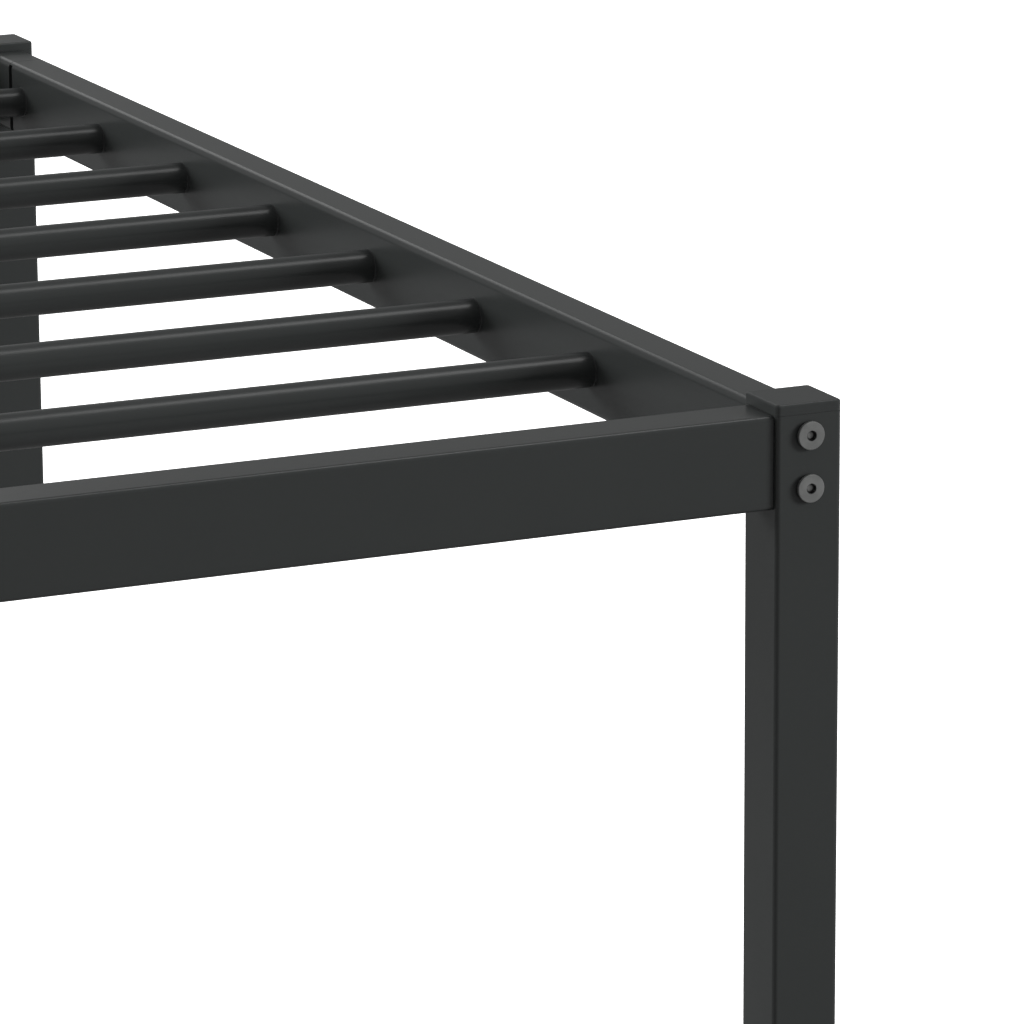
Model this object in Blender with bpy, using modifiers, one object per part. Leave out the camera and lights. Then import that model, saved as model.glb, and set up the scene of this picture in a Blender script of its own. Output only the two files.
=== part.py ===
"""Metal bed frame: square posts, flat side rails in two halves, round tube slats.

Frame: origin on the floor under the middle of the bed, +X to the right, +Y towards
the head end, +Z up. All lengths are in metres.
"""

import math

import bmesh
import bpy
from mathutils import Matrix, Vector

# Overall size, over the outer faces of the posts and up to the top of their caps.
LENGTH = 2.000
WIDTH = 0.970
HEIGHT = 0.310

# Clearance between pieces that touch.
GAP = 0.0003

# Posts: square tube.
POST = 0.030
POST_WALL = 0.0015
TUBE_CORNER = 0.002
CORNER_SEGMENTS = 3

# End caps and floor plugs: a square head flush with the post, and a spigot inside it.
CAP_HEAD = 0.0045
CAP_SPIGOT = 0.006
CAP_EDGE = 0.0012
PLUG_HEAD = 0.005
PLUG_SPIGOT = 0.015
PLUG_EDGE = 0.001
EDGE_SEGMENTS = 2

# Rails: all of one height, with their top faces a little below the post tops.
RAIL_DROP = 0.0049
RAIL_HEIGHT = 0.040
RAIL_WALL = 0.0015
CROSS_RAIL_DEPTH = 0.025
VENT_RADIUS = 0.004
SIDE_RAIL_WIDTH = 0.022
SIDE_RAIL_CORNER = 0.0035
SIDE_RAIL_SETBACK = 0.004

# Joint of each half rail to its mid post.
STUB_LENGTH = 0.032
TONGUE_LENGTH = 0.040
TONGUE_WALL = 0.002
SLOT_WIDTH = 0.0050
JOINT_BOLT_INSET = 0.020

# Slats: round tube, welded between the side rails.
SLATS_PER_HALF = 7
SLAT_RADIUS = 0.008
SLAT_WALL = 0.001
SLAT_DROP = 0.0193
SLAT_PITCH = 0.1237
FIRST_SLAT = 0.1905
SLAT_SIDES = 20

# Bolts: low head with a hexagon socket.
BOLT_RADIUS = 0.003
BOLT_HEAD_RADIUS = 0.006
BOLT_HEAD = 0.002
BOLT_HEAD_ROUND = 0.0005
BOLT_CHAMFER = 0.0006
BOLT_STEPS = 16
BOLT_SPREAD = 0.0224
CORNER_BOLT = 0.046
JOINT_BOLT = 0.012
SOCKET_ACROSS_FLATS = 0.004
SOCKET_DEPTH = 0.0014

# Threaded insert in the corner end of each half rail.
INSERT_LENGTH = 0.014

# Cutters run this far past the faces that they cut.
OVERCUT = 0.001
HOLE_SIDES = 16

RAIL_MIDDLE = HEIGHT - RAIL_DROP - RAIL_HEIGHT / 2
SLAT_Z = HEIGHT - RAIL_DROP - SLAT_DROP
POST_X = WIDTH / 2 - POST / 2
POST_Y = LENGTH / 2 - POST / 2
SIDE_RAIL_X = WIDTH / 2 - SIDE_RAIL_SETBACK - SIDE_RAIL_WIDTH / 2
SIDE_RAIL_START = LENGTH / 2 - POST - GAP
STUB_START = POST / 2 + GAP
STUB_END = STUB_START + STUB_LENGTH
SIDE_RAIL_END = STUB_END + GAP
SIDE_RAIL_LENGTH = SIDE_RAIL_START - SIDE_RAIL_END
INSIDE_WIDTH = SIDE_RAIL_WIDTH - 2 * RAIL_WALL - 2 * GAP
INSIDE_HEIGHT = RAIL_HEIGHT - 2 * RAIL_WALL - 2 * GAP
INSIDE_CORNER = SIDE_RAIL_CORNER - RAIL_WALL - GAP
BOLT_HOLE = BOLT_RADIUS + GAP
BOLT_LIFTS = {"upper": BOLT_SPREAD / 2, "lower": -BOLT_SPREAD / 2}

# Direction of each side along X, and of each end along Y.
SIDES = {"left": -1, "right": 1}
ENDS = {"foot": -1, "head": 1}


def clear_scene():
    for obj in list(bpy.data.objects):
        bpy.data.objects.remove(obj, do_unlink=True)


def make_collection(name):
    collection = bpy.data.collections.new(name)
    bpy.context.scene.collection.children.link(collection)
    return collection


def make_material(name, color, roughness, metallic):
    material = bpy.data.materials.new(name)
    material.use_nodes = True
    shader = material.node_tree.nodes["Principled BSDF"]
    shader.inputs["Base Color"].default_value = (*color, 1.0)
    shader.inputs["Roughness"].default_value = roughness
    shader.inputs["Metallic"].default_value = metallic
    return material


def add_object(name, shape, collection, material=None):
    """Turn a bmesh into an object, with round surfaces smooth and edges crisp."""
    bmesh.ops.recalc_face_normals(shape, faces=shape.faces[:])
    mesh = bpy.data.meshes.new(name)
    shape.to_mesh(mesh)
    shape.free()
    mesh.shade_smooth()
    mesh.set_sharp_from_angle(angle=math.radians(35))
    if material is not None:
        mesh.materials.append(material)
    obj = bpy.data.objects.new(name, mesh)
    collection.objects.link(obj)
    return obj


def box_shape(size):
    shape = bmesh.new()
    bmesh.ops.create_cube(shape, size=1.0)
    bmesh.ops.scale(shape, vec=Vector(size), verts=shape.verts[:])
    return shape


def round_edges(shape, edges, radius, segments):
    bmesh.ops.bevel(
        shape, geom=edges, offset=radius, offset_type="OFFSET", segments=segments,
        profile=0.5, affect="EDGES", clamp_overlap=True,
    )


def edges_along(shape, axis):
    """Edges that run along one axis: 0 for X, 1 for Y, 2 for Z."""
    found = []
    for edge in shape.edges:
        run = edge.verts[1].co - edge.verts[0].co
        if abs(run[axis]) > 0.99 * run.length:
            found.append(edge)
    return found


def cylinder_shape(radius, depth, axis, sides=HOLE_SIDES):
    shape = bmesh.new()
    bmesh.ops.create_cone(
        shape, cap_ends=True, segments=sides, radius1=radius, radius2=radius, depth=depth,
    )
    if axis == "X":
        bmesh.ops.rotate(shape, matrix=Matrix.Rotation(math.pi / 2, 3, "Y"), verts=shape.verts[:])
    if axis == "Y":
        bmesh.ops.rotate(shape, matrix=Matrix.Rotation(math.pi / 2, 3, "X"), verts=shape.verts[:])
    return shape


def combine(target, label, shape, location, operation):
    """Join a shape to the target, or cut it away, at a place in the target's own frame."""
    tool = add_object(f"{target.name}_{label}", shape, cutters)
    tool.parent = target
    tool.location = location
    tool.hide_render = True
    tool.display_type = "WIRE"
    step = target.modifiers.new(label, "BOOLEAN")
    step.operation = operation
    step.solver = "EXACT"
    step.object = tool


def rectangular_tube(name, size, axis, corner, wall, material):
    """An open-ended tube along one axis, with rounded long edges."""
    shape = box_shape(size)
    ends = [face for face in shape.faces if abs(face.normal[axis]) > 0.5]
    bmesh.ops.delete(shape, geom=ends, context="FACES_ONLY")
    round_edges(shape, edges_along(shape, axis), corner, CORNER_SEGMENTS)
    tube = add_object(name, shape, parts, material)
    shell = tube.modifiers.new("wall", "SOLIDIFY")
    shell.thickness = wall
    shell.offset = -1.0
    shell.use_even_offset = True
    return tube


def post(name, x, y, bolted):
    """An upright tube; the corner posts have two holes right through, for the rail bolts."""
    low = PLUG_HEAD + GAP
    high = HEIGHT - CAP_HEAD - GAP
    middle = (low + high) / 2
    size = (POST, POST, high - low)
    tube = rectangular_tube(name, size, 2, TUBE_CORNER, POST_WALL, coat)
    tube.location = (x, y, middle)
    if bolted:
        offset = math.copysign(SIDE_RAIL_X - POST_X, x)
        for label, lift in BOLT_LIFTS.items():
            hole = cylinder_shape(BOLT_HOLE, POST + 2 * OVERCUT, "Y")
            place = (offset, 0.0, RAIL_MIDDLE + lift - middle)
            combine(tube, f"{label}_hole", hole, place, "DIFFERENCE")


def plug(name, head, edge, spigot, material):
    """A square head with its flat face at the top and a spigot below, in one piece."""
    shape = box_shape((POST, POST, head))
    bmesh.ops.translate(shape, vec=(0.0, 0.0, -head / 2), verts=shape.verts[:])
    round_edges(shape, edges_along(shape, 2), TUBE_CORNER, CORNER_SEGMENTS)
    rim = [line for line in shape.edges if all(abs(v.co.z) < GAP for v in line.verts)]
    round_edges(shape, rim, edge, EDGE_SEGMENTS)
    piece = add_object(name, shape, parts, material)
    inside = POST - 2 * POST_WALL - 2 * GAP
    stem_length = spigot + head / 2
    stem = box_shape((inside, inside, stem_length))
    combine(piece, "spigot", stem, (0.0, 0.0, stem_length / 2 - head - spigot), "UNION")
    return piece


def end_cap(name, x, y):
    cap = plug(name, CAP_HEAD, CAP_EDGE, CAP_SPIGOT, cap_plastic)
    cap.location = (x, y, HEIGHT)


def floor_plug(name, x, y):
    foot = plug(name, PLUG_HEAD, PLUG_EDGE, PLUG_SPIGOT, foot_plastic)
    foot.rotation_euler = (math.pi, 0.0, 0.0)
    foot.location = (x, y, 0.0)


def cross_rail(name, y):
    """A closed tube between two posts, with a vent hole in each welded end."""
    length = WIDTH - 2 * (POST + GAP)
    shape = box_shape((length, CROSS_RAIL_DEPTH, RAIL_HEIGHT))
    round_edges(shape, shape.edges[:], TUBE_CORNER, CORNER_SEGMENTS)
    rail = add_object(name, shape, parts, coat)
    rail.location = (0.0, y, RAIL_MIDDLE)
    walls = 2 * RAIL_WALL
    bore = box_shape((length - walls, CROSS_RAIL_DEPTH - walls, RAIL_HEIGHT - walls))
    combine(rail, "bore", bore, (0.0, 0.0, 0.0), "DIFFERENCE")
    vent = cylinder_shape(VENT_RADIUS, length + 2 * OVERCUT, "X")
    combine(rail, "vent", vent, (0.0, 0.0, 0.0), "DIFFERENCE")


def side_rail(name, side, end):
    """Half of a side rail, from its corner post to the joint near the mid post."""
    size = (SIDE_RAIL_WIDTH, SIDE_RAIL_LENGTH, RAIL_HEIGHT)
    rail = rectangular_tube(name, size, 1, SIDE_RAIL_CORNER, RAIL_WALL, coat)
    rail.location = (
        side * SIDE_RAIL_X, end * (SIDE_RAIL_START + SIDE_RAIL_END) / 2, RAIL_MIDDLE,
    )
    wall_middle = (SIDE_RAIL_WIDTH - RAIL_WALL) / 2
    joint_end = -end * SIDE_RAIL_LENGTH / 2
    slot_length = SLOT_WIDTH - GAP
    slot = box_shape((
        RAIL_WALL + 2 * OVERCUT, slot_length + OVERCUT, RAIL_HEIGHT - 2 * SIDE_RAIL_CORNER,
    ))
    slot_y = joint_end + end * (slot_length - OVERCUT) / 2
    combine(rail, "slot", slot, (-side * wall_middle, slot_y, 0.0), "DIFFERENCE")
    hole = cylinder_shape(BOLT_HOLE, RAIL_WALL + 2 * OVERCUT, "X")
    hole_y = joint_end + end * JOINT_BOLT_INSET
    combine(rail, "hole", hole, (side * wall_middle, hole_y, 0.0), "DIFFERENCE")


def joint_stub(name, side, end):
    """A stub on the mid post, reduced to a hollow tongue that fits inside the half rail."""
    shape = box_shape((SIDE_RAIL_WIDTH, STUB_LENGTH, RAIL_HEIGHT))
    round_edges(shape, edges_along(shape, 1), SIDE_RAIL_CORNER, CORNER_SEGMENTS)
    stub = add_object(name, shape, parts, coat)
    stub.location = (side * SIDE_RAIL_X, end * (STUB_START + STUB_END) / 2, RAIL_MIDDLE)
    tongue = box_shape((INSIDE_WIDTH, TONGUE_LENGTH + STUB_LENGTH / 2, INSIDE_HEIGHT))
    round_edges(tongue, edges_along(tongue, 1), INSIDE_CORNER, CORNER_SEGMENTS)
    tongue_y = end * (TONGUE_LENGTH / 2 + STUB_LENGTH / 4)
    combine(stub, "tongue", tongue, (0.0, tongue_y, 0.0), "UNION")
    bore = box_shape((
        INSIDE_WIDTH - 2 * TONGUE_WALL,
        STUB_LENGTH + TONGUE_LENGTH + 2 * OVERCUT,
        INSIDE_HEIGHT - 2 * TONGUE_WALL,
    ))
    combine(stub, "bore", bore, (0.0, end * TONGUE_LENGTH / 2, 0.0), "DIFFERENCE")
    hole = cylinder_shape(BOLT_HOLE, TONGUE_WALL + 2 * OVERCUT, "X")
    hole_x = side * (INSIDE_WIDTH - TONGUE_WALL) / 2
    hole_y = end * (STUB_LENGTH / 2 + GAP + JOINT_BOLT_INSET)
    combine(stub, "hole", hole, (hole_x, hole_y, 0.0), "DIFFERENCE")


def rail_insert(name, side, end):
    """A threaded block in the corner end of a half rail."""
    shape = box_shape((INSIDE_WIDTH, INSERT_LENGTH, INSIDE_HEIGHT))
    round_edges(shape, edges_along(shape, 1), INSIDE_CORNER, CORNER_SEGMENTS)
    block = add_object(name, shape, parts, insert_steel)
    block.location = (
        side * SIDE_RAIL_X, end * (SIDE_RAIL_START - INSERT_LENGTH / 2), RAIL_MIDDLE,
    )
    for label, lift in BOLT_LIFTS.items():
        hole = cylinder_shape(BOLT_HOLE, INSERT_LENGTH + 2 * OVERCUT, "Y")
        combine(block, f"{label}_hole", hole, (0.0, 0.0, lift), "DIFFERENCE")


def slat(name, y):
    """A round tube between the two side rails, open at both ends."""
    length = 2 * (SIDE_RAIL_X - SIDE_RAIL_WIDTH / 2 - GAP)
    shape = cylinder_shape(SLAT_RADIUS, length, "X", SLAT_SIDES)
    ends = [face for face in shape.faces if len(face.verts) == SLAT_SIDES]
    bmesh.ops.delete(shape, geom=ends, context="FACES_ONLY")
    tube = add_object(name, shape, parts, coat)
    tube.location = (0.0, y, SLAT_Z)
    shell = tube.modifiers.new("wall", "SOLIDIFY")
    shell.thickness = SLAT_WALL
    shell.offset = -1.0
    shell.use_even_offset = True


def bolt_outline(length):
    """Half of the bolt's outline, from the top of its head down to its tip."""
    edge = BOLT_HEAD_ROUND
    points = [(0.0, BOLT_HEAD)]
    for step in range(EDGE_SEGMENTS + 1):
        turn = math.pi / 2 * step / EDGE_SEGMENTS
        x = BOLT_HEAD_RADIUS - edge + edge * math.sin(turn)
        points.append((x, BOLT_HEAD - edge + edge * math.cos(turn)))
    points.append((BOLT_HEAD_RADIUS, 0.0))
    points.append((BOLT_RADIUS, 0.0))
    points.append((BOLT_RADIUS, BOLT_CHAMFER - length))
    points.append((BOLT_RADIUS - BOLT_CHAMFER, -length))
    points.append((0.0, -length))
    return points


def bolt(name, length, location, rotation):
    """A turned bolt on its own Z axis, with the underside of its head at the origin."""
    shape = bmesh.new()
    corners = [shape.verts.new((x, 0.0, z)) for x, z in bolt_outline(length)]
    for first, second in zip(corners, corners[1:]):
        shape.edges.new((first, second))
    piece = add_object(name, shape, parts, bolt_steel)
    piece.location = location
    piece.rotation_euler = rotation
    turned = piece.modifiers.new("turned", "SCREW")
    turned.axis = "Z"
    turned.angle = 2 * math.pi
    turned.steps = BOLT_STEPS
    turned.render_steps = BOLT_STEPS
    turned.use_merge_vertices = True
    turned.merge_threshold = 0.00001
    socket = cylinder_shape(
        SOCKET_ACROSS_FLATS / math.sqrt(3), SOCKET_DEPTH + OVERCUT, "Z", sides=6,
    )
    lift = BOLT_HEAD + (OVERCUT - SOCKET_DEPTH) / 2
    combine(piece, "socket", socket, (0.0, 0.0, lift), "DIFFERENCE")


def corner_bolts(corner, side, end):
    for label, lift in BOLT_LIFTS.items():
        place = (side * SIDE_RAIL_X, end * (LENGTH / 2 + GAP), RAIL_MIDDLE + lift)
        bolt(f"corner_bolt_{corner}_{label}", CORNER_BOLT, place, (-end * math.pi / 2, 0.0, 0.0))


def joint_bolt(corner, side, end):
    face = SIDE_RAIL_X + SIDE_RAIL_WIDTH / 2 + GAP
    place = (side * face, end * (SIDE_RAIL_END + JOINT_BOLT_INSET), RAIL_MIDDLE)
    bolt(f"joint_bolt_{corner}", JOINT_BOLT, place, (0.0, side * math.pi / 2, 0.0))


def build_post_set(label, side, y, bolted):
    x = side * POST_X
    post(f"post_{label}", x, y, bolted)
    end_cap(f"end_cap_{label}", x, y)
    floor_plug(f"floor_plug_{label}", x, y)


def build_corner(end_name, side_name):
    """One quarter of the frame: corner post, half rail, and the joint to the mid post."""
    end = ENDS[end_name]
    side = SIDES[side_name]
    corner = f"{end_name}_{side_name}"
    build_post_set(corner, side, end * POST_Y, bolted=True)
    side_rail(f"side_rail_{corner}", side, end)
    rail_insert(f"rail_insert_{corner}", side, end)
    corner_bolts(corner, side, end)
    joint_stub(f"joint_stub_{corner}", side, end)
    joint_bolt(corner, side, end)


def build_bed_frame():
    for end_name, end in ENDS.items():
        cross_rail(f"{end_name}_rail", end * POST_Y)
        for side_name in SIDES:
            build_corner(end_name, side_name)
        for number in range(SLATS_PER_HALF):
            y = end * (LENGTH / 2 - FIRST_SLAT - number * SLAT_PITCH)
            slat(f"slat_{end_name}_{number + 1}", y)
    for side_name, side in SIDES.items():
        build_post_set(f"mid_{side_name}", side, 0.0, bolted=False)
    cross_rail("mid_rail", 0.0)


clear_scene()
parts = make_collection("metal_bed_frame")
cutters = make_collection("cutters")
coat = make_material("powder_coated_steel", (0.045, 0.048, 0.047), 0.45, 0.0)
bolt_steel = make_material("bolt_steel", (0.30, 0.31, 0.31), 0.35, 1.0)
insert_steel = make_material("insert_steel", (0.42, 0.41, 0.38), 0.40, 1.0)
cap_plastic = make_material("cap_plastic", (0.045, 0.048, 0.047), 0.50, 0.0)
foot_plastic = make_material("foot_plastic", (0.018, 0.018, 0.018), 0.60, 0.0)
build_bed_frame()
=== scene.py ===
"""Metal bed frame: the finished tubes, caps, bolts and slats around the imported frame."""

import math

import bmesh
import bpy
from mathutils import Matrix, Vector


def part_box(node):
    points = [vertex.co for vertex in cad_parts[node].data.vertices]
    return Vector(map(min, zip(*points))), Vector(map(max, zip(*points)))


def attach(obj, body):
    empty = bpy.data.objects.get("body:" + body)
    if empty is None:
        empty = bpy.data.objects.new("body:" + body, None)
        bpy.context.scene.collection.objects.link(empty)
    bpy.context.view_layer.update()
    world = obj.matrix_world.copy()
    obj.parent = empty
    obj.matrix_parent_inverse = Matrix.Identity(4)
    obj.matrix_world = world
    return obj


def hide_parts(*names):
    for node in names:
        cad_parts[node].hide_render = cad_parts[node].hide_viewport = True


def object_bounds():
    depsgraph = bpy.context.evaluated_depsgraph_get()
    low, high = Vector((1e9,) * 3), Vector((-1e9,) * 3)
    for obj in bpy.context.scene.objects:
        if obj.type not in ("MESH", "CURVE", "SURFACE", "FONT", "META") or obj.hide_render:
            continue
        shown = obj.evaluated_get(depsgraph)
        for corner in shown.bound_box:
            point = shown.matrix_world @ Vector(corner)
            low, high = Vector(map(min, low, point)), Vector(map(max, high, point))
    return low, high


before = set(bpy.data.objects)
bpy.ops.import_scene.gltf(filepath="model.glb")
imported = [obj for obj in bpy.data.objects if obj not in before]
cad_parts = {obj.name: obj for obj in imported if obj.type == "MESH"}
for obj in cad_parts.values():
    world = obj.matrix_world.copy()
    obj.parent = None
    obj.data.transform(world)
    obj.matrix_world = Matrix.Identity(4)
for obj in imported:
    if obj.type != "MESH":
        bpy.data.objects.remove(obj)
cad_low, cad_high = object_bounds()

MM = 0.001
X, Y, Z = 0, 1, 2

# How closely an edge or a face lies along an axis, or on a level, to be picked.
ALONG = 0.99
FACING = 0.9
LEVEL_SLACK = 0.02 * MM

# Drills and cutters run past the metal by this at each end.
TOOL_PAST = 1.0 * MM

# Rectangular tube: rounded long edges, and cut ends with the burr taken off the outer rim.
TUBE_CORNER = 2.0 * MM
TUBE_WALL = 1.5 * MM
CORNER_STEPS = 6
EDGE_STEPS = 4
CUT_EDGE = 0.15 * MM
CUT_STEPS = 2

# The outer rim lies within this share of the wall from the tube's outer faces.
RIM_SHARE = 0.9

# Half rails: softer long edges, and a slot left in the inner wall at the joint.
SIDE_CORNER = 3.5 * MM
SLOT_LENGTH = 4.7 * MM

# Closed rails: a vent hole in each welded end.
VENT_RADIUS = 4.0 * MM
WELDED_END = 0.3 * MM

# Joint at the mid post: a block, and a hollow tongue that is rooted in the block. It
# stands off the flat walls of the half rail by the gap, and back behind the slot.
STUB_LENGTH = 32.0 * MM
TONGUE_ROOT = 8.0 * MM
TONGUE_WALL = 2.0 * MM
TONGUE_GAP = 0.3 * MM
SLOT_BACK = 3.0 * MM

# Welded pieces are made longer by this at each end, so that they meet.
WELD_GAP = 0.3 * MM

# Round tube slats, with a weld fillet at each end.
SLATS_PER_HALF = 7
SLAT_WALL = 1.0 * MM
SLAT_SIDES = 64
FILLET = 0.3 * MM
FILLET_STEPS = 4

# Bolts: a low round head with a hexagon socket, a plain shank and a thread, whose root is
# a share of the shank's radius.
BOLT_SIDES = 64
HEAD_THICKNESS = 2.0 * MM
HEAD_ROUND = 0.4 * MM
HEAD_EASE = 0.6 * MM
HEAD_STEPS = 4
SOCKET_SIDES = 6
SOCKET_FLATS = 4.0 * MM
SOCKET_CORNER = SOCKET_FLATS / math.sqrt(3.0)
SOCKET_DEPTH = 1.6 * MM
SOCKET_EDGE = 0.15 * MM
MOUTH_SLACK = 0.1 * MM
SHANK_RADIUS = 3.0 * MM
THREAD_ROOT = 0.88
THREAD_PITCH = 1.0 * MM
RAIL_BOLT_THREAD = 16.0 * MM
JOINT_BOLT_THREAD = 8.0 * MM
TIP_CHAMFER = 0.6 * MM
BOLT_HOLE = 3.3 * MM
HOLE_SIDES = 48

# Plastic end pieces: a square head, and a hollow finned stem inside the tube. The seat
# brings the head to a fine joint line at the cut end of the tube, and the lead moves the
# row of fins towards the head.
CAP_HEAD = 4.5 * MM
CAP_EDGE = 1.2 * MM
FOOT_HEAD = 5.0 * MM
FOOT_EDGE = 1.0 * MM
SEAT = 0.22 * MM
STEM_CORE = 12.2 * MM
STEM_WALL = 1.8 * MM
FIN_REACH = 13.2 * MM
FIN_THICKNESS = 1.0 * MM
FIN_PITCH = 2.8 * MM
FIN_LEAD = FIN_PITCH / 4

# The first place of each row is modelled, and the others are its mirror images.
CORNER_PLACES = ("foot_right", "foot_left", "head_right", "head_left")
MID_PLACES = ("mid_right", "mid_left")
FLIPS = {
    "foot_right": (1.0, 1.0, 1.0),
    "foot_left": (-1.0, 1.0, 1.0),
    "head_right": (1.0, -1.0, 1.0),
    "head_left": (-1.0, -1.0, 1.0),
    "mid_right": (1.0, 1.0, 1.0),
    "mid_left": (-1.0, 1.0, 1.0),
}

# Edges that turn more than this stay crisp.
SMOOTH_ANGLE = math.radians(40.0)

# Finishes with a grain: the dark and light tone, how often they change along a metre,
# the scale of the bumps and of the finer ones with the share of the finer, the range of
# roughness, and the strength and depth of the bump.
FINISHES = {
    "powder coat": {
        "tones": ((0.0265, 0.0288, 0.0284), (0.0285, 0.0308, 0.0304)),
        "drift": 7.0,
        "grain": (520.0, 3600.0, 0.35),
        "roughness": (0.27, 0.31),
        "bump": (0.06, 0.04 * MM),
        "metallic": 0.0,
    },
    "bare machined steel": {
        "tones": ((0.30, 0.30, 0.31), (0.42, 0.42, 0.43)),
        "drift": 60.0,
        "grain": (900.0, 5000.0, 0.5),
        "roughness": (0.35, 0.55),
        "bump": (0.15, 0.03 * MM),
        "metallic": 1.0,
    },
    "moulded cap plastic": {
        "tones": ((0.0265, 0.0288, 0.0284), (0.0285, 0.0308, 0.0304)),
        "drift": 40.0,
        "grain": (1100.0, 4400.0, 0.5),
        "roughness": (0.30, 0.42),
        "bump": (0.2, 0.04 * MM),
        "metallic": 0.0,
    },
    "moulded foot plastic": {
        "tones": ((0.0200, 0.0205, 0.0205), (0.0230, 0.0235, 0.0235)),
        "drift": 40.0,
        "grain": (900.0, 3600.0, 0.5),
        "roughness": (0.50, 0.66),
        "bump": (0.2, 0.04 * MM),
        "metallic": 0.0,
    },
}

# Specular level of all of these.
SHINE = 0.5

# Noise, as detail and roughness: the slow drift, with the part of its range that is
# spread out, and the rounded and the finer bumps of a grain.
DRIFT_NOISE = (3.0, 0.55)
DRIFT_RANGE = (0.3, 0.7)
ROUND_NOISE = (1.0, 0.4)
FINE_NOISE = (2.0, 0.5)

# Plated bolts: two near tones, and the metal and roughness that go from the first value
# under the painted shade of the socket's walls to the second on the rest of the head.
BOLT_TONES = ((0.31, 0.315, 0.31), (0.38, 0.385, 0.38))
BOLT_DRIFT = 160.0
BOLT_RINGS = 1.2
BOLT_BUMP = (0.1, 0.01 * MM)
BOLT_METALLIC = (0.3, 0.8)
BOLT_ROUGHNESS = (0.6, 0.42)
# Painted shade: the dark colour painted on the walls of the socket, where they lie in shade.
SOCKET_PAINTED_SHADE = (0.02, 0.021, 0.021)

# Where the painted shade of the socket's walls ends, in millimetres from the middle:
# outwards over the rim, and inwards over the floor of the socket.
PAINTED_SHADE_OUTWARDS = (SOCKET_FLATS / MM / 2, SOCKET_CORNER / MM + 0.2)
PAINTED_SHADE_INWARDS = (SOCKET_FLATS / MM * 0.42, SOCKET_FLATS / MM * 0.22)

# Tool rings on turned faces.
RING_DISTORTION = 0.4
RING_DETAIL = 2.0

# The floor shows white, and throws back the light of a grey one.
WHITE = (1.0, 1.0, 1.0, 1.0)
FLOOR_SIZE = 120.0
FLOOR_DRIFT = 0.6
FLOOR_BOUNCE = (0.20, 0.22)
FLOOR_SHOWN = 0.90
FLOOR_GLOW = 1.0
FLOOR_ROUGHNESS = 0.9
FLOOR_SHINE = 0.1

# The surround gives off the first strength, and shows the second.
WORLD_LIGHT = 0.213
BACKDROP_LIGHT = 1.0

# Softboxes: where each stands, where it aims, its width and its power in watts.
SOFTBOXES = {
    "overhead": ((0.0, 0.2, 4.0), (0.0, 0.2, 0.0), 7.0, 115.0),
    "key": ((1.8, -1.0, 3.5), (0.2, -0.3, 0.3), 1.2, 11.0),
    "front": ((6.0, -4.8, 1.9), (0.0, -0.5, 0.2), 2.5, 610.0),
    "left": ((-5.5, 3.0, 1.0), (0.0, 0.0, 0.2), 3.0, 660.0),
    "right": ((6.0, 2.5, 1.2), (0.0, 0.0, 0.2), 3.0, 50.0),
    "rear": ((1.2, 6.0, 3.2), (0.0, 0.0, 0.3), 2.2, 12.0),
}

# These only fill: no surface mirrors them.
MATT_SOFTBOXES = ("overhead", "front", "left", "right")

# Camera: where it stands, over the top of the bed, its long lens, and its turn, dip and roll.
CAMERA_PLACE = (-0.574209, -3.013347, cad_high.z + 0.532179)
CAMERA_LENS = 199.12
CAMERA_SENSOR = 36.0
CAMERA_TURN = math.radians(24.316)
CAMERA_DIP = math.radians(14.315)
CAMERA_ROLL = math.radians(-0.342)


# ---------------------------------------------------------------- working by hand

def deselect_all():
    if bpy.context.object and bpy.context.object.mode != "OBJECT":
        bpy.ops.object.mode_set(mode="OBJECT")
    bpy.ops.object.select_all(action="DESELECT")


def make_active(obj):
    deselect_all()
    obj.select_set(True)
    bpy.context.view_layer.objects.active = obj


def settle(name):
    """Name the new object and put its place and size into its mesh."""
    bpy.ops.object.transform_apply(location=True, rotation=True, scale=True)
    obj = bpy.context.object
    obj.name = name
    obj.data.name = name
    return obj


def add_block(name, low, high):
    deselect_all()
    low, high = Vector(low), Vector(high)
    bpy.ops.mesh.primitive_cube_add(size=1.0, location=(low + high) / 2, scale=high - low)
    return settle(name)


def add_rod(name, centre, radius, length, axis, sides, ends="NGON"):
    deselect_all()
    turns = {X: (0.0, math.pi / 2, 0.0), Y: (-math.pi / 2, 0.0, 0.0), Z: (0.0, 0.0, 0.0)}
    bpy.ops.mesh.primitive_cylinder_add(
        vertices=sides, radius=radius, depth=length, end_fill_type=ends,
        location=centre, rotation=turns[axis],
    )
    return settle(name)


def pick(obj, kind, wanted):
    """Enter edit mode with only the faces or edges selected that wanted() says.

    A face is judged by its centre and normal, an edge by its two ends.
    """
    make_active(obj)
    bpy.ops.object.mode_set(mode="EDIT")
    bpy.ops.mesh.select_mode(type=kind)
    bpy.ops.mesh.select_all(action="DESELECT")
    shape = bmesh.from_edit_mesh(obj.data)
    if kind == "FACE":
        for face in shape.faces:
            face.select_set(wanted(face.calc_center_median(), face.normal))
    else:
        for edge in shape.edges:
            edge.select_set(wanted(edge.verts[0].co, edge.verts[1].co))
    shape.select_flush_mode()
    bmesh.update_edit_mesh(obj.data)


def leave_edit():
    bpy.ops.object.mode_set(mode="OBJECT")


def round_picked(width, steps):
    bpy.ops.mesh.bevel(
        offset=width, offset_type="OFFSET", segments=steps, profile=0.5, affect="EDGES",
        clamp_overlap=True,
    )
    leave_edit()


def along(axis):
    def wanted(a, b):
        run = b - a
        return abs(run[axis]) > ALONG * run.length
    return wanted


def on_level(axis, level):
    def wanted(a, b):
        return max(abs(a[axis] - level), abs(b[axis] - level)) < LEVEL_SLACK
    return wanted


def apply_modifier(obj, kind, **settings):
    make_active(obj)
    step = obj.modifiers.new(kind.lower(), kind)
    for key, value in settings.items():
        setattr(step, key, value)
    bpy.ops.object.modifier_apply(modifier=step.name)


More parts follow.
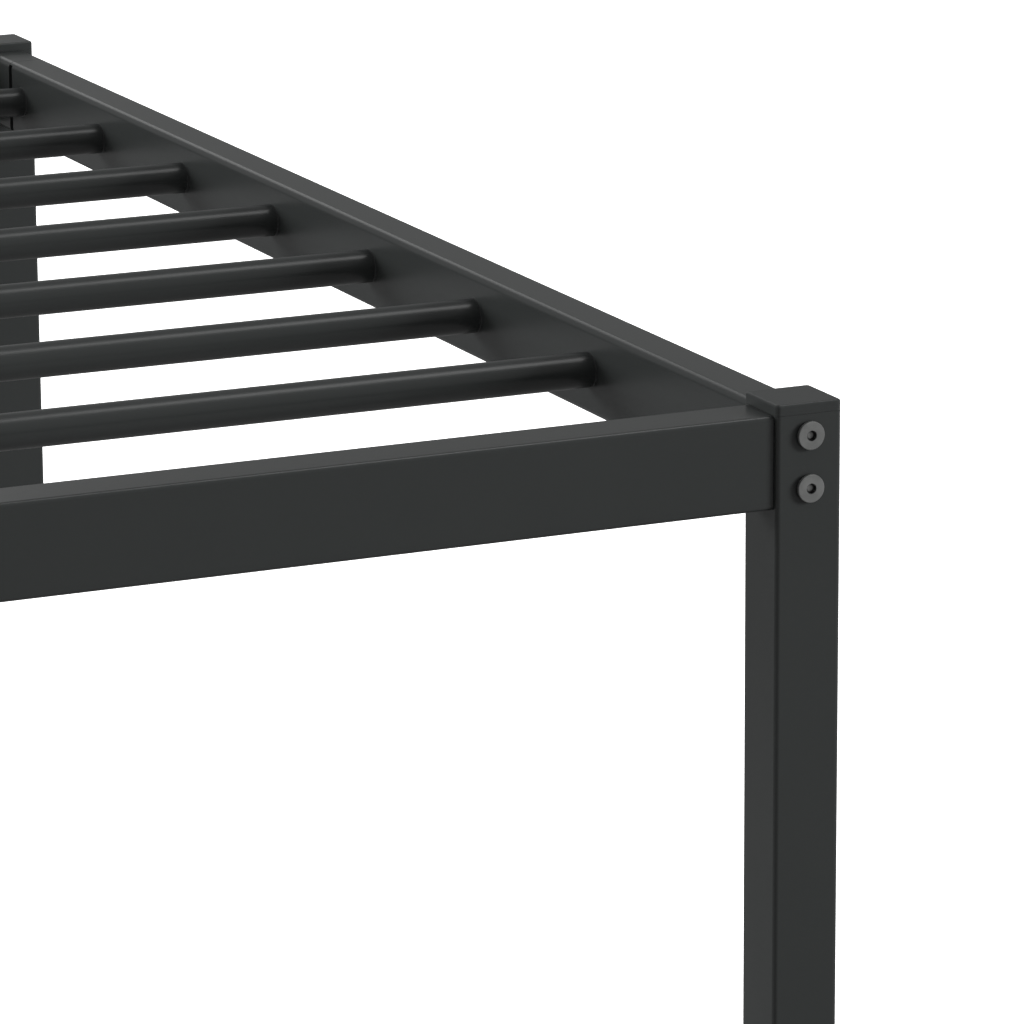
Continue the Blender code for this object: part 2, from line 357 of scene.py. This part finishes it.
def combine(obj, other, operation):
    apply_modifier(obj, "BOOLEAN", operation=operation, solver="EXACT", object=other)
    bpy.data.objects.remove(other, do_unlink=True)


def drill(obj, centre, radius, depth, axis):
    combine(obj, add_rod("drill", centre, radius, depth, axis, HOLE_SIDES), "DIFFERENCE")


def copy_piece(obj, name, shift=(0.0, 0.0, 0.0), flip=(1.0, 1.0, 1.0)):
    """A copy with its own mesh: moved along, or mirrored about the middle of the bed."""
    make_active(obj)
    bpy.ops.object.duplicate(linked=False)
    bpy.ops.transform.translate(value=shift)
    bpy.ops.transform.resize(value=flip, center_override=(0.0, 0.0, 0.0))
    twin = settle(name)
    if flip[X] * flip[Y] < 0.0:
        bpy.ops.object.mode_set(mode="EDIT")
        bpy.ops.mesh.select_all(action="SELECT")
        bpy.ops.mesh.normals_make_consistent(inside=False)
        leave_edit()
    return twin


def centre_of(node):
    low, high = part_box(node)
    return (low + high) / 2


# ---------------------------------------------------------------- pieces

def open_tube(name, low, high, axis, corner=TUBE_CORNER, wall=TUBE_WALL):
    """Rectangular tube between two corners, open at both ends."""
    tube = add_block(name, low, high)
    pick(tube, "FACE", lambda centre, normal: abs(normal[axis]) > FACING)
    bpy.ops.mesh.delete(type="ONLY_FACE")
    pick(tube, "EDGE", along(axis))
    round_picked(corner, CORNER_STEPS)
    apply_modifier(tube, "SOLIDIFY", thickness=wall, offset=-1.0, use_even_offset=True)
    centre = (Vector(low) + Vector(high)) / 2
    reach = (Vector(high) - Vector(low)) / 2 - Vector((wall, wall, wall)) * RIM_SHARE
    across = [a for a in (X, Y, Z) if a != axis]

    def outside(point):
        return any(abs(point[a] - centre[a]) > reach[a] for a in across)

    for level in (low[axis], high[axis]):
        on_end = on_level(axis, level)
        pick(tube, "EDGE", lambda a, b: on_end(a, b) and outside(a) and outside(b))
        round_picked(CUT_EDGE, CUT_STEPS)
    return tube


def post_tube(name, node, bolts):
    low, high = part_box(node)
    tube = open_tube(name, low, high, Z)
    for bolt in bolts:
        place = centre_of(bolt)
        place.y = (low.y + high.y) / 2
        drill(tube, place, BOLT_HOLE, high.y - low.y + 2 * TOOL_PAST, Y)
    return tube


def closed_rail(name, node):
    """Rail between two posts: rounded all over, hollow, with a vent in each end."""
    low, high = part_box(node)
    reach = Vector((WELD_GAP, 0.0, 0.0))
    low, high = low - reach, high + reach
    rail = add_block(name, low, high)
    pick(rail, "EDGE", along(X))
    round_picked(TUBE_CORNER, CORNER_STEPS)
    for level in (low.x, high.x):
        pick(rail, "EDGE", on_level(X, level))
        round_picked(WELDED_END, EDGE_STEPS)
    inset = Vector((TUBE_WALL, TUBE_WALL, TUBE_WALL))
    combine(rail, add_block("bore", low + inset, high - inset), "DIFFERENCE")
    drill(rail, (low + high) / 2, VENT_RADIUS, high.x - low.x + 2 * TOOL_PAST, X)
    return rail


def half_rail(name, node, bolt):
    """Right foot half of a side rail: slotted inner wall at the joint, bolt hole outside."""
    low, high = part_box(node)
    rail = open_tube(name, low, high, Y, SIDE_CORNER)
    slot_low = (low.x - TOOL_PAST, high.y - SLOT_LENGTH, low.z + TUBE_WALL)
    slot_high = (low.x + TUBE_WALL + TOOL_PAST, high.y + TOOL_PAST, high.z - TUBE_WALL)
    combine(rail, add_block("slot", slot_low, slot_high), "DIFFERENCE")
    place = centre_of(bolt)
    place.x = high.x
    drill(rail, place, BOLT_HOLE, 2 * TUBE_WALL + 2 * TOOL_PAST, X)
    return rail


def joint_block(name, node, rail_node, bolt):
    """Right foot joint: a block at the mid post, with a hollow tongue inside the half rail."""
    low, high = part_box(node)
    rail_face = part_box(rail_node)[1].x
    shoulder = high.y - STUB_LENGTH
    block = add_block(name, (low.x, shoulder, low.z), high)
    pick(block, "EDGE", along(Y))
    round_picked(SIDE_CORNER, CORNER_STEPS)
    pick(block, "EDGE", on_level(Y, shoulder))
    round_picked(CUT_EDGE, CUT_STEPS)
    inset = Vector((TUBE_WALL + TONGUE_GAP, 0.0, TUBE_WALL + TONGUE_GAP))
    behind_slot = Vector((SLOT_BACK, 0.0, 0.0))
    tongue_end = Vector((high.x, shoulder + TONGUE_ROOT, high.z))
    tongue = add_block("tongue", low + inset + behind_slot, tongue_end - inset)
    combine(block, tongue, "UNION")
    inset = inset + Vector((TONGUE_WALL, -TOOL_PAST, TONGUE_WALL))
    bore = add_block("bore", low + inset + behind_slot, high - inset)
    combine(block, bore, "DIFFERENCE")
    place = centre_of(bolt)
    place.x = rail_face - TUBE_WALL - TONGUE_WALL / 2
    drill(block, place, BOLT_HOLE, TONGUE_WALL + 2 * TOOL_PAST, X)
    return block


def end_piece(name, node, head, edge, face_up):
    """Square plastic head, rounded round its outer face, on a hollow stem with fins."""
    low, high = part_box(node)
    way = 1.0 if face_up else -1.0
    face = high.z if face_up else low.z
    tip = low.z if face_up else high.z
    shoulder = face - way * (head + SEAT)
    middle = (low + high) / 2

    def block(label, half, z_a, z_b):
        z_low, z_high = sorted((z_a, z_b))
        low_corner = (middle.x - half, middle.y - half, z_low)
        return add_block(label, low_corner, (middle.x + half, middle.y + half, z_high))

    piece = block(name, (high.x - low.x) / 2, face, shoulder)
    pick(piece, "EDGE", along(Z))
    round_picked(TUBE_CORNER, CORNER_STEPS)
    pick(piece, "EDGE", on_level(Z, face))
    round_picked(edge, EDGE_STEPS)
    combine(piece, block("stem", STEM_CORE, face - way * head / 2, tip), "UNION")
    count = int(abs(tip - shoulder) / FIN_PITCH)
    for number in range(1, count + 1):
        level = shoulder - way * (number * FIN_PITCH - FIN_LEAD)
        fin = block("fin", FIN_REACH, level, level - way * FIN_THICKNESS)
        combine(piece, fin, "UNION")
    hollow = block("hollow", STEM_CORE - STEM_WALL, shoulder, tip - way * TOOL_PAST)
    combine(piece, hollow, "DIFFERENCE")
    return piece


def slat_tube(name, node):
    """Round tube that meets the side rails in a small concave weld."""
    low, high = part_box(node)
    middle = (low + high) / 2
    radius = (high.z - low.z) / 2
    reach = (high.x - low.x) / 2 + WELD_GAP
    plain = reach - FILLET
    tube = add_rod(name, middle, radius, 2 * plain, X, SLAT_SIDES, "NOTHING")
    for way in (-1.0, 1.0):
        size = radius
        pick(tube, "EDGE", on_level(X, middle.x + way * plain))
        for step in range(1, FILLET_STEPS + 1):
            turn = math.pi / 2 * step / FILLET_STEPS
            before = math.pi / 2 * (step - 1) / FILLET_STEPS
            advance = FILLET * (math.sin(turn) - math.sin(before))
            wider = radius + FILLET * (1.0 - math.cos(turn))
            bpy.ops.mesh.extrude_region_move(
                TRANSFORM_OT_translate={"value": (way * advance, 0.0, 0.0)},
            )
            ring = (middle.x + way * (plain + FILLET * math.sin(turn)), middle.y, middle.z)
            grow = wider / size
            bpy.ops.transform.resize(value=(1.0, grow, grow), center_override=ring)
            size = wider
        leave_edit()
    apply_modifier(tube, "SOLIDIFY", thickness=SLAT_WALL, offset=-1.0, use_even_offset=False)
    return tube


def map_round(obj, middle, axis):
    """A map of the piece as seen along its axis, in millimetres from its middle line."""
    across = [a for a in (X, Y, Z) if a != axis]
    while obj.data.uv_layers:
        obj.data.uv_layers.remove(obj.data.uv_layers[0])
    layer = obj.data.uv_layers.new(name="round_map")
    for loop in obj.data.loops:
        place = (obj.data.vertices[loop.vertex_index].co - middle) / MM
        layer.data[loop.index].uv = (place[across[0]], place[across[1]])


def socket_bolt(name, node, axis, way, threaded):
    """Bolt whose head looks along way on its axis: disc head, socket, shank and thread."""
    low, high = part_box(node)
    middle = (low + high) / 2
    radius = max(high[a] - low[a] for a in (X, Y, Z) if a != axis) / 2
    face = high[axis] if way > 0 else low[axis]
    tip = low[axis] if way > 0 else high[axis]
    under = face - way * HEAD_THICKNESS

    def spot(level):
        point = middle.copy()
        point[axis] = level
        return point

    bolt = add_rod(name, spot((face + under) / 2), radius, HEAD_THICKNESS, axis, BOLT_SIDES)
    pick(bolt, "EDGE", on_level(axis, face))
    round_picked(HEAD_ROUND, HEAD_STEPS)
    pick(bolt, "EDGE", on_level(axis, under))
    round_picked(HEAD_EASE, CUT_STEPS)
    pick(bolt, "FACE", lambda centre, normal: normal[axis] * way < -FACING)
    bpy.ops.mesh.inset(thickness=radius - HEAD_EASE - SHANK_RADIUS, depth=0.0)

    def push_on(distance, grow):
        nonlocal level
        level -= way * distance
        move = [0.0, 0.0, 0.0]
        move[axis] = -way * distance
        bpy.ops.mesh.extrude_region_move(TRANSFORM_OT_translate={"value": move})
        size = [grow, grow, grow]
        size[axis] = 1.0
        bpy.ops.transform.resize(value=size, center_override=spot(level))

    level = under
    turns = int(threaded / THREAD_PITCH)
    plain = abs(tip - under) - TIP_CHAMFER - turns * THREAD_PITCH
    push_on(plain, 1.0)
    for _ in range(turns):
        push_on(THREAD_PITCH / 2, THREAD_ROOT)
        push_on(THREAD_PITCH / 2, 1.0 / THREAD_ROOT)
    push_on(TIP_CHAMFER, (SHANK_RADIUS - TIP_CHAMFER) / SHANK_RADIUS)
    leave_edit()
    socket = add_rod(
        "socket", spot(face), SOCKET_CORNER, 2 * SOCKET_DEPTH, axis, SOCKET_SIDES,
    )
    combine(bolt, socket, "DIFFERENCE")
    on_face = on_level(axis, face)
    mouth = SOCKET_CORNER + MOUTH_SLACK
    centre = spot(face)
    pick(bolt, "EDGE", lambda a, b: (
        on_face(a, b) and (a - centre).length < mouth and (b - centre).length < mouth
    ))
    round_picked(SOCKET_EDGE, CUT_STEPS)
    map_round(bolt, middle, axis)
    return bolt


# ---------------------------------------------------------------- surface effects

def new_group(name, inputs, outputs):
    group = bpy.data.node_groups.new(name, "ShaderNodeTree")
    for label, kind in inputs:
        group.interface.new_socket(label, in_out="INPUT", socket_type=kind)
    for label, kind in outputs:
        group.interface.new_socket(label, in_out="OUTPUT", socket_type=kind)
    return group, group.nodes.new("NodeGroupInput"), group.nodes.new("NodeGroupOutput")


def noise_node(tree, detail, roughness):
    noise = tree.nodes.new("ShaderNodeTexNoise")
    noise.inputs["Detail"].default_value = detail
    noise.inputs["Roughness"].default_value = roughness
    return noise


def fade(tree, amount, start, end):
    """0 where the amount is at start, 1 where it is at end, and soft at both."""
    ramp = tree.nodes.new("ShaderNodeMapRange")
    ramp.interpolation_type = "SMOOTHSTEP"
    ramp.inputs["From Min"].default_value = start
    ramp.inputs["From Max"].default_value = end
    tree.links.new(amount, ramp.inputs["Value"])
    return ramp.outputs["Result"]


def make_drift_group():
    """Slow, faint change over the surface, between 0 and 1."""
    group, given, made = new_group(
        "slow drift",
        [("Vector", "NodeSocketVector"), ("Scale", "NodeSocketFloat")],
        [("Amount", "NodeSocketFloat")],
    )
    broad = noise_node(group, *DRIFT_NOISE)
    group.links.new(given.outputs["Vector"], broad.inputs["Vector"])
    group.links.new(given.outputs["Scale"], broad.inputs["Scale"])
    spread = fade(group, broad.outputs["Fac"], *DRIFT_RANGE)
    group.links.new(spread, made.inputs["Amount"])
    return group


def make_grain_group():
    """Small bumps: rounded ones, with finer ones over them."""
    group, given, made = new_group(
        "fine grain",
        [
            ("Vector", "NodeSocketVector"),
            ("Bump Scale", "NodeSocketFloat"),
            ("Fine Scale", "NodeSocketFloat"),
            ("Fine Share", "NodeSocketFloat"),
        ],
        [("Height", "NodeSocketFloat"), ("Speck", "NodeSocketFloat")],
    )
    round_bumps = noise_node(group, *ROUND_NOISE)
    fine_bumps = noise_node(group, *FINE_NOISE)
    blend = group.nodes.new("ShaderNodeMix")
    blend.data_type = "FLOAT"
    group.links.new(given.outputs["Vector"], round_bumps.inputs["Vector"])
    group.links.new(given.outputs["Vector"], fine_bumps.inputs["Vector"])
    group.links.new(given.outputs["Bump Scale"], round_bumps.inputs["Scale"])
    group.links.new(given.outputs["Fine Scale"], fine_bumps.inputs["Scale"])
    group.links.new(given.outputs["Fine Share"], blend.inputs["Factor"])
    group.links.new(round_bumps.outputs["Fac"], blend.inputs["A"])
    group.links.new(fine_bumps.outputs["Fac"], blend.inputs["B"])
    group.links.new(blend.outputs["Result"], made.inputs["Height"])
    group.links.new(fine_bumps.outputs["Fac"], made.inputs["Speck"])
    return group


def make_rings_group():
    """Faint tool rings round the middle of the piece's own map, as turning leaves them."""
    group, given, made = new_group(
        "turned rings",
        [("Vector", "NodeSocketVector"), ("Rings", "NodeSocketFloat")],
        [("Height", "NodeSocketFloat")],
    )
    rings = group.nodes.new("ShaderNodeTexWave")
    rings.wave_type = "RINGS"
    rings.rings_direction = "Z"
    rings.inputs["Distortion"].default_value = RING_DISTORTION
    rings.inputs["Detail"].default_value = RING_DETAIL
    group.links.new(given.outputs["Vector"], rings.inputs["Vector"])
    group.links.new(given.outputs["Rings"], rings.inputs["Scale"])
    group.links.new(rings.outputs["Fac"], made.inputs["Height"])
    return group


DRIFT = make_drift_group()
GRAIN = make_grain_group()
RINGS = make_rings_group()


def place_group(tree, group, vector, **values):
    node = tree.nodes.new("ShaderNodeGroup")
    node.node_tree = group
    tree.links.new(vector, node.inputs["Vector"])
    for label, value in values.items():
        node.inputs[label.replace("_", " ")].default_value = value
    return node


def blend_colours(tree, amount, dark, light):
    """The dark colour where the amount is 0, and the light one where it is 1."""
    mix = tree.nodes.new("ShaderNodeMix")
    mix.data_type = "RGBA"
    mix.inputs["A"].default_value = (*dark, 1.0)
    mix.inputs["B"].default_value = (*light, 1.0)
    tree.links.new(amount, mix.inputs["Factor"])
    return mix.outputs["Result"]


def blend_values(tree, amount, low, high):
    """The low value where the amount is 0, and the high one where it is 1."""
    spread = tree.nodes.new("ShaderNodeMapRange")
    spread.inputs["To Min"].default_value = low
    spread.inputs["To Max"].default_value = high
    tree.links.new(amount, spread.inputs["Value"])
    return spread.outputs["Result"]


def add_bump(tree, shader, height, strength, distance):
    bump = tree.nodes.new("ShaderNodeBump")
    bump.inputs["Strength"].default_value = strength
    bump.inputs["Distance"].default_value = distance
    tree.links.new(height, bump.inputs["Height"])
    tree.links.new(bump.outputs["Normal"], shader.inputs["Normal"])


def new_material(name):
    material = bpy.data.materials.new(name)
    material.use_nodes = True
    tree = material.node_tree
    return material, tree, tree.nodes["Principled BSDF"], tree.nodes.new("ShaderNodeTexCoord")


def make_finish(name):
    """Coat, plastic or plain steel: two near tones in slow drift, under a fine grain."""
    look = FINISHES[name]
    material, tree, shader, place = new_material(name)
    here = place.outputs["Object"]
    bump_scale, fine_scale, fine_share = look["grain"]
    drift = place_group(tree, DRIFT, here, Scale=look["drift"])
    grain = place_group(
        tree, GRAIN, here,
        Bump_Scale=bump_scale, Fine_Scale=fine_scale, Fine_Share=fine_share,
    )
    colour = blend_colours(tree, drift.outputs["Amount"], *look["tones"])
    tree.links.new(colour, shader.inputs["Base Color"])
    gloss = blend_values(tree, grain.outputs["Speck"], *look["roughness"])
    tree.links.new(gloss, shader.inputs["Roughness"])
    shader.inputs["Metallic"].default_value = look["metallic"]
    shader.inputs["Specular IOR Level"].default_value = SHINE
    add_bump(tree, shader, grain.outputs["Height"], *look["bump"])
    return material


def make_bolt_metal():
    """Plated steel with the rings of its turning, and painted shade on the walls of the socket,
    which are also duller and less metallic.
    """
    material, tree, shader, place = new_material("plated bolt steel")
    drift = place_group(tree, DRIFT, place.outputs["Object"], Scale=BOLT_DRIFT)
    rings = place_group(tree, RINGS, place.outputs["UV"], Rings=BOLT_RINGS)
    from_middle = tree.nodes.new("ShaderNodeVectorMath")
    from_middle.operation = "LENGTH"
    tree.links.new(place.outputs["UV"], from_middle.inputs[0])
    distance = from_middle.outputs["Value"]
    # Mask: 0 on the socket's walls, where the shade is painted, and 1 on the head and on the
    # socket's floor.
    lighter = tree.nodes.new("ShaderNodeMath")
    lighter.operation = "MAXIMUM"
    tree.links.new(fade(tree, distance, *PAINTED_SHADE_OUTWARDS), lighter.inputs[0])
    tree.links.new(fade(tree, distance, *PAINTED_SHADE_INWARDS), lighter.inputs[1])
    outside_painted_shade = lighter.outputs["Value"]
    plate = blend_colours(tree, drift.outputs["Amount"], *BOLT_TONES)
    # Painted shade: the socket's walls get the dark colour, and the rest gets the plate's tones.
    colour = blend_colours(tree, outside_painted_shade, SOCKET_PAINTED_SHADE, BOLT_TONES[1])
    tree.links.new(plate, colour.node.inputs["B"])
    tree.links.new(colour, shader.inputs["Base Color"])
    tree.links.new(blend_values(tree, outside_painted_shade, *BOLT_METALLIC), shader.inputs["Metallic"])
    tree.links.new(blend_values(tree, outside_painted_shade, *BOLT_ROUGHNESS), shader.inputs["Roughness"])
    add_bump(tree, shader, rings.outputs["Height"], *BOLT_BUMP)
    return material


MATERIALS = {
    "powder_coated_steel": make_finish("powder coat"),
    "bolt_steel": make_bolt_metal(),
    "insert_steel": make_finish("bare machined steel"),
    "cap_plastic": make_finish("moulded cap plastic"),
    "foot_plastic": make_finish("moulded foot plastic"),
}


def finish_piece(obj, node, slot_name):
    make_active(obj)
    bpy.ops.object.shade_smooth_by_angle(angle=SMOOTH_ANGLE)
    apply_modifier(obj, "WEIGHTED_NORMAL", keep_sharp=True)
    obj.data.materials.clear()
    obj.data.materials.append(MATERIALS[slot_name])
    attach(obj, "root")
    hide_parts(node)


def finish_all(first, label, node, places, slot_name):
    """The first piece and its mirrored copies, each at its own node."""
    pieces = [first]
    for place in places[1:]:
        pieces.append(copy_piece(first, label.format(place), flip=FLIPS[place]))
    for place, piece in zip(places, pieces):
        finish_piece(piece, node.format(place), slot_name)


# ---------------------------------------------------------------- the bed

corner_bolts = ("corner_bolt_foot_right_upper", "corner_bolt_foot_right_lower")
leg = post_tube("leg_tube_foot_right", "post_foot_right", corner_bolts)
finish_all(leg, "leg_tube_{}", "post_{}", CORNER_PLACES, "powder_coated_steel")
leg = post_tube("leg_tube_mid_right", "post_mid_right", ())
finish_all(leg, "leg_tube_{}", "post_{}", MID_PLACES, "powder_coated_steel")

for places in (CORNER_PLACES, MID_PLACES):
    first = places[0]
    cap = end_piece(f"top_cap_{first}", f"end_cap_{first}", CAP_HEAD, CAP_EDGE, True)
    finish_all(cap, "top_cap_{}", "end_cap_{}", places, "cap_plastic")
    glide = end_piece(f"floor_glide_{first}", f"floor_plug_{first}", FOOT_HEAD, FOOT_EDGE, False)
    finish_all(glide, "floor_glide_{}", "floor_plug_{}", places, "foot_plastic")

end_tube = closed_rail("end_tube_foot", "foot_rail")
to_middle = centre_of("mid_rail") - centre_of("foot_rail")
to_head = centre_of("head_rail") - centre_of("foot_rail")
middle_tube = copy_piece(end_tube, "middle_tube", shift=to_middle)
head_tube = copy_piece(end_tube, "end_tube_head", shift=to_head)
for tube, node in ((end_tube, "foot_rail"), (middle_tube, "mid_rail"), (head_tube, "head_rail")):
    finish_piece(tube, node, "powder_coated_steel")

side = half_rail("side_tube_foot_right", "side_rail_foot_right", "joint_bolt_foot_right")
finish_all(side, "side_tube_{}", "side_rail_{}", CORNER_PLACES, "powder_coated_steel")
block = joint_block(
    "joint_block_foot_right", "joint_stub_foot_right", "side_rail_foot_right",
    "joint_bolt_foot_right",
)
finish_all(block, "joint_block_{}", "joint_stub_{}", CORNER_PLACES, "powder_coated_steel")

for level in ("upper", "lower"):
    bolt = socket_bolt(
        f"rail_bolt_foot_right_{level}", f"corner_bolt_foot_right_{level}", Y, -1,
        RAIL_BOLT_THREAD,
    )
    finish_all(
        bolt, "rail_bolt_{}_" + level, "corner_bolt_{}_" + level, CORNER_PLACES, "bolt_steel",
    )
screw = socket_bolt(
    "joint_screw_foot_right", "joint_bolt_foot_right", X, 1, JOINT_BOLT_THREAD,
)
finish_all(screw, "joint_screw_{}", "joint_bolt_{}", CORNER_PLACES, "bolt_steel")

slat_numbers = range(1, SLATS_PER_HALF + 1)
slats = [f"slat_{half}_{number}" for half in ("foot", "head") for number in slat_numbers]
first_slat = slat_tube(slats[0].replace("slat", "slat_tube"), slats[0])
pieces = [first_slat]
for node in slats[1:]:
    shift = centre_of(node) - centre_of(slats[0])
    pieces.append(copy_piece(first_slat, node.replace("slat", "slat_tube"), shift=shift))
for piece, node in zip(pieces, slats):
    finish_piece(piece, node, "powder_coated_steel")

for corner in CORNER_PLACES:
    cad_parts[f"rail_insert_{corner}"].material_slots[0].material = MATERIALS["insert_steel"]

# ---------------------------------------------------------------- studio

def lay_floor():
    """Pale floor that looks lit white, but lights the bed from below as a grey one."""
    deselect_all()
    bpy.ops.mesh.primitive_plane_add(size=FLOOR_SIZE, location=(0.0, 0.0, 0.0))
    floor = settle("studio_floor")
    material, tree, shader, place = new_material("pale studio floor")
    drift = place_group(tree, DRIFT, place.outputs["Object"], Scale=FLOOR_DRIFT)
    greys = [(grey,) * 3 for grey in FLOOR_BOUNCE]
    bounce = blend_colours(tree, drift.outputs["Amount"], *greys)
    seen = tree.nodes.new("ShaderNodeLightPath").outputs["Is Camera Ray"]
    colour = blend_colours(tree, seen, greys[0], (FLOOR_SHOWN,) * 3)
    tree.links.new(bounce, colour.node.inputs["A"])
    tree.links.new(colour, shader.inputs["Base Color"])
    glow = blend_values(tree, seen, 0.0, FLOOR_GLOW)
    tree.links.new(glow, shader.inputs["Emission Strength"])
    shader.inputs["Emission Color"].default_value = WHITE
    shader.inputs["Roughness"].default_value = FLOOR_ROUGHNESS
    shader.inputs["Specular IOR Level"].default_value = FLOOR_SHINE
    floor.data.materials.append(material)


def hang_backdrop():
    """White surround to look at, which gives off much less light than it shows."""
    world = bpy.data.worlds.new("studio")
    world.use_nodes = True
    bpy.context.scene.world = world
    nodes, links = world.node_tree.nodes, world.node_tree.links
    surround = nodes["Background"]
    surround.inputs["Color"].default_value = WHITE
    surround.inputs["Strength"].default_value = WORLD_LIGHT
    backdrop = nodes.new("ShaderNodeBackground")
    backdrop.inputs["Color"].default_value = WHITE
    backdrop.inputs["Strength"].default_value = BACKDROP_LIGHT
    ray = nodes.new("ShaderNodeLightPath")
    choose = nodes.new("ShaderNodeMixShader")
    links.new(ray.outputs["Is Camera Ray"], choose.inputs["Fac"])
    links.new(surround.outputs["Background"], choose.inputs[1])
    links.new(backdrop.outputs["Background"], choose.inputs[2])
    links.new(choose.outputs["Shader"], nodes["World Output"].inputs["Surface"])


def add_softbox(name, location, aim, size, power):
    deselect_all()
    bpy.ops.object.light_add(type="AREA", location=location)
    light = bpy.context.object
    light.name = name
    light.data.shape = "SQUARE"
    light.data.size = size
    light.data.energy = power
    light.rotation_euler = (Vector(aim) - Vector(location)).to_track_quat("-Z", "Y").to_euler()
    light.visible_camera = False
    light.visible_glossy = name not in MATT_SOFTBOXES


lay_floor()
hang_backdrop()
for softbox, (location, aim, size, power) in SOFTBOXES.items():
    add_softbox(softbox, location, aim, size, power)
bpy.context.scene.view_settings.view_transform = "Standard"

# ---------------------------------------------------------------- camera

bpy.ops.object.camera_add(location=CAMERA_PLACE)
camera = bpy.context.object
camera.name = "studio_camera"
camera.data.lens = CAMERA_LENS
camera.data.sensor_width = CAMERA_SENSOR
camera.rotation_euler = (
    Matrix.Rotation(-CAMERA_TURN, 3, "Z")
    @ Matrix.Rotation(math.pi / 2 - CAMERA_DIP, 3, "X")
    @ Matrix.Rotation(CAMERA_ROLL, 3, "Z")
).to_euler()
bpy.context.scene.camera = camera
